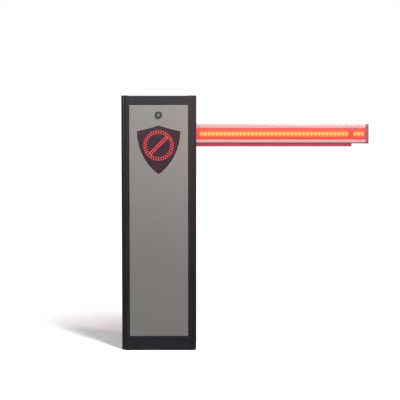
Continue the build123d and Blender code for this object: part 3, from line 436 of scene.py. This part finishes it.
SIGN_RISE = 0.116                # centre of the sign above the window's foot
SIGN_Z = window_low.z + SIGN_RISE
RING_OUTER, RING_INNER = (0.058, 36), (0.050, 30)    # radius and number of lamps
BAR_PITCH, BAR_LAMPS = 0.0082, 12
DOT_WIDTH, HALO_WIDTH = 0.0019, 0.0050
DOT_LIGHT, HALO_LIGHT = 1.75, 0.11
CLEAR_SHARE = 0.08


def sign_places():
    """(x, z) of each lamp: two rings, the inner one staggered, and a double diagonal row."""
    places = []
    for offset, (radius, count) in ((0.0, RING_OUTER), (0.5, RING_INNER)):
        for i in range(count):
            angle = 2 * math.pi * (i + offset) / count
            places.append((radius * math.cos(angle), radius * math.sin(angle)))
    for row in (-0.5, 0.5):
        for i in range(BAR_LAMPS):
            along = (i - (BAR_LAMPS - 1) / 2) * BAR_PITCH
            across = row * BAR_PITCH
            places.append(((along - across) * DIAGONAL, (along + across) * DIAGONAL))
    return places


def smoked_acrylic():
    """Dark wine-tinted acrylic: each lamp behind it shows as a bright dot with a faint halo."""
    look = surface("smoked_acrylic", (0.058, 0.028, 0.041), 0.24, tone=0.05, grain=1200, bump=0.02, coat=0.15)
    x, _, height = look.split()
    z = look.math("SUBTRACT", height, SIGN_Z)

    def squared(value):
        return look.math("POWER", look.math("ABSOLUTE", value), 2)

    def spacing(turns, pitch, last=None):
        """Distance along a row from its nearest lamp."""
        nearest = look.math("ROUND", turns)
        if last is not None:
            nearest = look.math("MINIMUM", look.math("MAXIMUM", nearest, 0), last)
        return look.math("MULTIPLY", look.math("SUBTRACT", turns, nearest), pitch)

    def bells(along, across):
        """Narrow dot and wide halo around a lamp."""
        dot = look.math("DIVIDE", look.math("ADD", squared(along), squared(across)), -DOT_WIDTH ** 2)
        halo = look.math("DIVIDE", squared(across), -HALO_WIDTH ** 2)
        return look.math("EXPONENT", dot), look.math("EXPONENT", halo)

    reach = look.math("SQRT", look.math("ADD", squared(x), squared(z)))
    angle = look.math("DIVIDE", look.math("ARCTAN2", z, x), 2 * math.pi)
    rows = []
    for offset, (radius, count) in ((0.0, RING_OUTER), (0.5, RING_INNER)):
        turns = look.math("SUBTRACT", look.math("MULTIPLY", angle, count), offset)
        rows.append(bells(spacing(turns, 2 * math.pi * radius / count), look.math("SUBTRACT", reach, radius)))
    u = look.math("MULTIPLY", look.math("ADD", x, z), DIAGONAL)
    v = look.math("MULTIPLY", look.math("SUBTRACT", z, x), DIAGONAL)
    steps = look.math("ADD", look.math("DIVIDE", u, BAR_PITCH), (BAR_LAMPS - 1) / 2)
    beside = look.math("SUBTRACT", look.math("ABSOLUTE", v), BAR_PITCH / 2)
    dot, halo = bells(spacing(steps, BAR_PITCH, BAR_LAMPS - 1), beside)
    within = look.between(look.math("ABSOLUTE", u), BAR_PITCH * (BAR_LAMPS / 2 + 0.4),
                          BAR_PITCH * BAR_LAMPS / 2)
    rows.append((dot, look.math("MULTIPLY", halo, within)))
    dots, halos = 0.0, 0.0
    for dot, halo in rows:
        dots = look.math("MAXIMUM", dots, dot)
        halos = look.math("MAXIMUM", halos, halo)
    look.feed(look.shader.inputs["Emission Color"],
              look.mix(dots, (1.0, 0.03, 0.07, 1), (1.0, 0.17, 0.11, 1)))
    light = look.math("ADD", look.math("MULTIPLY", dots, DOT_LIGHT), look.math("MULTIPLY", halos, HALO_LIGHT))
    look.feed(look.shader.inputs["Emission Strength"], light)
    clear = look.node("ShaderNodeBsdfTransparent", {"Color": (0.90, 0.60, 0.60, 1)})
    both = look.node("ShaderNodeMixShader", {0: CLEAR_SHARE})
    look.feed(both.inputs[1], look.shader.outputs[0])
    look.feed(both.inputs[2], clear.outputs[0])
    look.feed(look.out, both.outputs[0])
    return look


acrylic = smoked_acrylic()


def sign_lamps():
    """Domed lamps of the sign, each in a low collar on the board."""
    mesh = bmesh.new()
    collars = bmesh.new()
    radius, length = 0.0015, 0.0040
    for x, z in sign_places():
        origin = (x, board_low.y, SIGN_Z + z)
        dome = [(radius * math.cos(a), length - radius + radius * math.sin(a)) for a in (0, 0.4, 0.8, 1.2,
                                                                                         1.5)]
        lathe(mesh, origin, (0, -1, 0), [(radius, -0.0001), *dome], 12)
        collar = [(radius * 1.35, -0.0001), (radius * 1.35, 0.0007), (radius * 1.02, 0.001)]
        lathe(collars, origin, (0, -1, 0), collar, 12)
    piece("sign_lamps", mesh, "door", sign_red)
    piece("sign_lamp_collars", collars, "door", mould_black)


sign_lamps()


# ---- balance springs --------------------------------------------------------------------


def coil_spring(name, y):
    """Close-wound tension spring between its two plugs, built here at one length; the real spring shortens as the
    boom lifts.
    """
    low, high = corners("balance_springs")
    centre_x = (low.x + high.x) / 2
    wire = 0.0025
    radius = (high.x - low.x) / 2 - wire
    turns, steps, sides = 82, 16, 8
    mesh = bmesh.new()
    rings = []
    for i in range(turns * steps + 1):
        angle = 2 * math.pi * i / steps
        rise = i / (turns * steps)
        height = low.z + wire + (high.z - low.z - 2 * wire) * rise
        out = Vector((math.cos(angle), math.sin(angle), 0))
        centre = Vector((centre_x, y, height)) + out * radius
        loop = [2 * math.pi * k / sides for k in range(sides)]
        points = [centre + out * wire * math.cos(a) + Vector((0, 0, wire * math.sin(a))) for a in loop]
        rings.append(ring_of(mesh, points))
    for first, second in zip(rings, rings[1:]):
        bridge(mesh, first, second)
    mesh.faces.new(rings[0])
    mesh.faces.new(rings[-1])
    made = piece(name, mesh, "cabinet", spring_steel, 60)
    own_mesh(made)
    return made


spring_low, spring_high = corners("balance_springs")
SPRING_R = (spring_high.x - spring_low.x) / 2
front_spring = coil_spring("balance_spring_front", spring_low.y + SPRING_R)
coil_spring("balance_spring_rear", spring_high.y - SPRING_R)
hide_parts("balance_springs")


# ---- small hardware ---------------------------------------------------------------------

def panel_screws():
    """Screws down both edges of the rear panel."""
    low, high = corners("rear_panel")
    mesh = bmesh.new()
    inset, margin, rows, radius = 0.012, 0.02, 5, 0.0045
    for x in (low.x + inset, high.x - inset):
        for step in range(rows):
            z = low.z + margin + (high.z - low.z - 2 * margin) * step / (rows - 1)
            screw(mesh, (x, high.y, z), (0, 1, 0), radius)
    piece("rear_panel_screws", mesh, "cabinet", zinc)


def cover_screws():
    """Four screws sunk flush into the top cover."""
    low, high = corners("top_cover")
    mesh = bmesh.new()
    inset, apart, sunk, radius = 0.010, 0.08, 0.0018, 0.0032
    for x in (low.x + inset, high.x - inset):
        for y in (-apart, apart):
            screw(mesh, (x, y, high.z - sunk), (0, 0, 1), radius)
    piece("top_cover_screws", mesh, "cabinet", powder)


def lid_details():
    """Corner screws, a display and status lights on the controller's lid."""
    low, high = corners("controller_lid")
    mesh = bmesh.new()
    inset, radius = 0.008, 0.0035
    for x in (low.x + inset, high.x - inset):
        for z in (low.z + inset, high.z - inset):
            screw(mesh, (x, low.y, z), (0, -1, 0), radius)
    piece("controller_lid_screws", mesh, "cabinet", zinc)
    frame_mesh = bmesh.new()
    mid = (low.x + high.x) / 2
    half, foot, top = 0.032, 0.075, 0.125
    near = (mid - half, low.y - 0.002, low.z + foot)
    box_with_round(frame_mesh, near, (mid + half, low.y + 0.0005, low.z + top), 0.001)
    piece("controller_display_bezel", frame_mesh, "cabinet", mould_black)
    glass = bmesh.new()
    half, foot, top = 0.027, 0.080, 0.120
    near = (mid - half, low.y - 0.0026, low.z + foot)
    box_with_round(glass, near, (mid + half, low.y - 0.0015, low.z + top), 0.0004)
    piece("controller_display_glass", glass, "cabinet", acrylic)
    lights = bmesh.new()
    first, pitch, rise = 0.021, 0.014, 0.145
    dome = [(0.002, -0.0002), (0.002, 0.0008), (0.0012, 0.0016), (0.0003, 0.0018)]
    for step in range(4):
        origin = (mid - first + pitch * step, low.y, low.z + rise)
        lathe(lights, origin, (0, -1, 0), dome, 14)
    piece("controller_status_lights", lights, "cabinet", status_green)


def hex_head(mesh, origin, axis, radius):
    """Hexagon bolt head with a chamfered top."""
    lathe(mesh, origin, axis, [(radius, -0.0004), (radius, 0.003), (radius - 0.0007, 0.0036),
                               (0.0010, 0.0037)], 6)


def gearbox_bolts():
    """Hexagon heads round the gearbox's rear cover and the motor's end cap."""
    low, high = corners("gearbox_housing")
    cover_circle, cap_circle = 0.032, 0.028
    mesh = bmesh.new()
    for i in range(6):
        angle = math.pi / 3 * i
        rise = (low.z + high.z) / 2 + cover_circle * math.sin(angle)
        hex_head(mesh, (cover_circle * math.cos(angle), high.y, rise), (0, 1, 0), 0.0055)
    cap_low, cap_high = corners("motor_cap")
    centre = (cap_low + cap_high) / 2
    for i in range(4):
        angle = math.pi / 4 + math.pi / 2 * i
        x, y = centre.x + cap_circle * math.cos(angle), centre.y + cap_circle * math.sin(angle)
        hex_head(mesh, (x, y, cap_low.z), (0, 0, -1), 0.005)
    piece("gearbox_bolts", mesh, "cabinet", zinc)


def breaker_terminals():
    """Terminal screws of the breaker and the power supply."""
    low, high = corners("breaker")
    mesh = bmesh.new()
    inset_x, inset_z, face_y, radius = 0.009, 0.010, -0.0540, 0.0032
    for x in (low.x + inset_x, high.x - inset_x):
        for z in (low.z + inset_z, high.z - inset_z):
            screw(mesh, (x, face_y, z), (0, -1, 0), radius)
    supply_low = corners("power_supply")[0]
    pitch, rise = 0.008, 0.008
    for step in range(5):
        x = supply_low.x + inset_x + pitch * step
        screw(mesh, (x, supply_low.y, supply_low.z + rise), (0, -1, 0), 0.0028)
    piece("terminal_screws", mesh, "cabinet", zinc)


panel_screws()
cover_screws()
lid_details()
gearbox_bolts()
breaker_terminals()


# ---- finishes of the CAD pieces -----------------------------------------------------------

FINISHES = {
    powder: "corner_posts sill_rails head_rails top_cover side_panels rear_panel base_plate "
            "boom_clamps boom_hub",
    silver: "door_panel",
    mill: "door_stiffeners",
    acrylic: "sign_window",
    mould_black: "sign_housing breaker_toggle",
    black_board: "sign_board",
    green_board: "controller_board",
    white_board: "led_strips",
    plate: "lock_housing",
    zinc: "lock_cam lock_keeper hinge_pins bearing_bolts clamp_bolts rocker_pins spring_hanger "
          "rod_ends conrod_tube",
    barrel: "lock_plug",
    zinc_thread: "tension_rods",
    primer: "chassis_plate chassis_webs rear_plate spring_anchor stop_brackets sensor_bracket",
    ground: "main_shaft output_shaft limit_cam",
    casting: "bearing_housings",
    bearing: "bearing_inserts",
    enamel: "rocker crank",
    gear_cast: "gearbox_housing",
    motor_blue: "motor_body motor_cap",
    rubber: "door_seal stop_buffers",
    edge_rubber: "boom_edge",
    mould_grey: "controller_box controller_lid breaker",
    sheet_metal: "power_supply",
    green: "button_open",
    red: "button_close release_lever",
    sensor_brass: "limit_sensors",
    anodised: "boom_profile",
    cap_grey: "boom_caps",
}
for look, names in FINISHES.items():
    for name in names.split():
        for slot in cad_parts[name].material_slots:
            slot.link = "OBJECT"
            slot.material = look.material


# ---- stage, light and camera --------------------------------------------------------------

PAPER_DIM, PAPER_SEEN = 0.10, 2.15      # paper for bounced light, and for the eye
FAR_LIGHT = 1.2
FAR_START, FAR_END = 0.45, 1.15         # distance over which the paper turns white
RIGHT_START, RIGHT_END = -0.10, 0.16    # the same along X, to the right


def stage_floor():
    """Pale paper that takes a shadow near the object and turns plain white further out."""
    mesh = bmesh.new()
    bmesh.ops.create_grid(mesh, x_segments=1, y_segments=1, size=14.0)
    data = bpy.data.meshes.new("studio_floor")
    mesh.to_mesh(data)
    mesh.free()
    floor = bpy.data.objects.new("studio_floor", data)
    bpy.context.scene.collection.objects.link(floor)
    look = Look("studio_paper")
    eye = look.node("ShaderNodeLightPath").outputs["Is Camera Ray"]
    tone = look.mix(eye, (*[PAPER_DIM] * 3, 1), (*[PAPER_SEEN] * 3, 1))
    paper = look.node("ShaderNodeBsdfDiffuse", {"Color": tone})
    far = look.node("ShaderNodeVectorMath", {0: look.place}, operation="LENGTH").outputs["Value"]
    light = look.node("ShaderNodeEmission", {"Strength": look.math("MULTIPLY", eye, FAR_LIGHT)})
    beside = look.between(look.split()[0], RIGHT_START, RIGHT_END)
    away = look.between(far, FAR_START, FAR_END)
    sweep = look.node("ShaderNodeMixShader", {0: look.math("MAXIMUM", away, beside)})
    look.feed(sweep.inputs[1], paper.outputs[0])
    look.feed(sweep.inputs[2], light.outputs[0])
    look.feed(look.out, sweep.outputs[0])
    data.materials.append(look.material)


def area_light(name, place, target, size, power, color=(1, 1, 1)):
    """Rectangular soft light at a place, facing a target."""
    data = bpy.data.lights.new(name, "AREA")
    data.shape = "RECTANGLE"
    data.size, data.size_y = size
    data.energy = power
    data.color = color
    made = bpy.data.objects.new(name, data)
    made.location = place
    made.rotation_euler = (Vector(target) - Vector(place)).to_track_quat("-Z", "Y").to_euler()
    bpy.context.scene.collection.objects.link(made)


WORLD_LIGHT, WORLD_SEEN = 0.10, 1.05


def studio():
    """White surroundings for the eye, a key light, a front card, two side strips and the boom's red spill."""
    world = bpy.data.worlds.new("studio")
    bpy.context.scene.world = world
    world.use_nodes = True
    nodes, wires = world.node_tree.nodes, world.node_tree.links
    path = nodes.new("ShaderNodeLightPath")
    level = nodes.new("ShaderNodeMapRange")
    level.inputs["To Min"].default_value = WORLD_LIGHT
    level.inputs["To Max"].default_value = WORLD_SEEN
    wires.new(path.outputs["Is Camera Ray"], level.inputs["Value"])
    wires.new(level.outputs[0], nodes["Background"].inputs["Strength"])
    nodes["Background"].inputs["Color"].default_value = (1, 1, 1, 1)
    area_light("key", (1.04, -1.85, 3.29), (0, 0, 0.6), (0.6, 0.6), 106)
    area_light("front_card", (0.2, -6.2, 2.1), (0, 0, 0.9), (3.0, 1.3), 48)
    area_light("left_strip", (-2.9, -1.2, 1.8), (-0.15, -0.14, 0.8), (0.5, 1.7), 30)
    area_light("right_strip", (2.4, -1.0, 1.7), (0.15, -0.14, 0.8), (0.5, 1.6), 22, (1.0, 0.62, 0.68))
    area_light("boom_spill", (0.30, -0.50, 0.88), (0.14, -0.14, 0.80), (0.1, 0.3), 0.25, (1.0, 0.30, 0.30))


CAMERA_PLACE = (0.1656, -5.14, 0.9586)
CAMERA_DOWN = 4                  # degrees below level
SENSOR_MM, LENS_MM = 36.0, 112.5


def camera():
    """Long lens in front of the door, a little to its right, looking slightly down."""
    data = bpy.data.cameras.new("camera")
    data.sensor_width = SENSOR_MM
    data.lens = LENS_MM
    made = bpy.data.objects.new("camera", data)
    made.location = CAMERA_PLACE
    made.rotation_euler = (math.radians(90 - CAMERA_DOWN), 0, 0)
    bpy.context.scene.collection.objects.link(made)
    bpy.context.scene.camera = made


stage_floor()
studio()
camera()
bpy.context.scene.view_settings.view_transform = "Standard"
